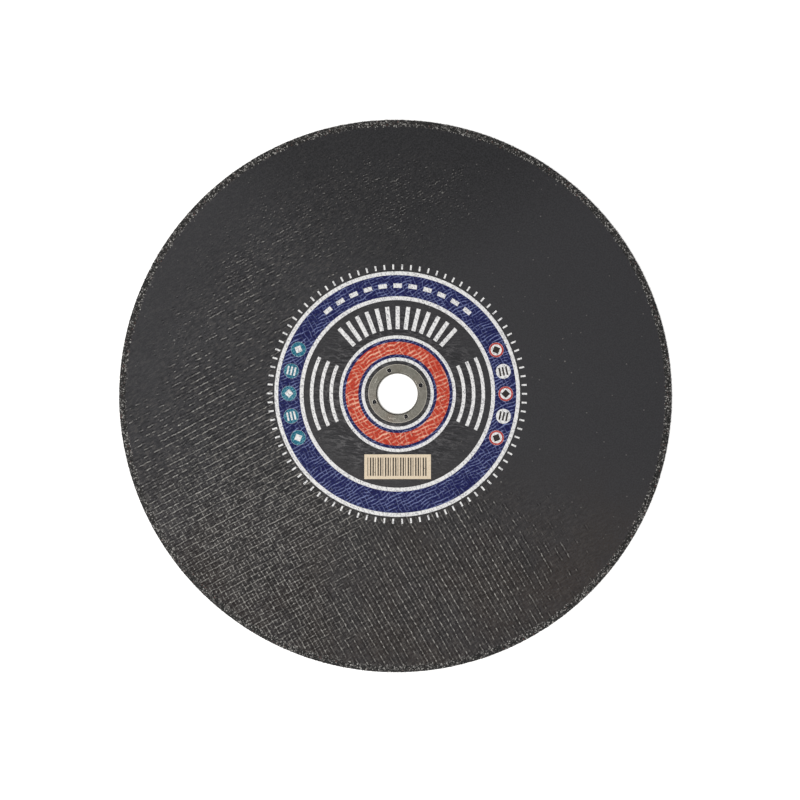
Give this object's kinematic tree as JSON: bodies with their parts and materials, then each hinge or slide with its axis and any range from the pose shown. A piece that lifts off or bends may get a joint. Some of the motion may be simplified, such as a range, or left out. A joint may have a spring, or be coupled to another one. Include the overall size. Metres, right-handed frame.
{
  "type": "cut-off wheel",
  "caption": "Thin flat reinforced abrasive wheel with a woven face, a bare grit rim, a printed ring label and a pressed steel arbor ring, for cutting metal on a stationary saw.",
  "frame": {"origin": "centre of the bore at the back face, on which the wheel lies", "axes": "+Z along the bore axis, out of the printed face; +Y towards the top of the label"},
  "size_m": [0.35, 0.35, 0.0033],
  "materials": {
    "abrasive": "dark resin-bonded grit with a woven glass mesh in its faces",
    "ring_steel": "dull plated sheet steel",
    "white_ink": "matt screen ink",
    "blue_ink": "matt screen ink",
    "orange_ink": "matt screen ink",
    "teal_ink": "matt screen ink",
    "red_ink": "matt screen ink",
    "cream_ink": "matt screen ink",
    "black_ink": "matt screen ink"
  },
  "bodies": {
    "root": {"abrasive_disc": "abrasive", "arbor_ring": "ring_steel", "print_white": "white_ink", "print_blue": "blue_ink", "print_orange": "orange_ink", "print_teal": "teal_ink", "print_red": "red_ink", "print_cream": "cream_ink", "print_black": "black_ink"}
  },
  "joints": []
}
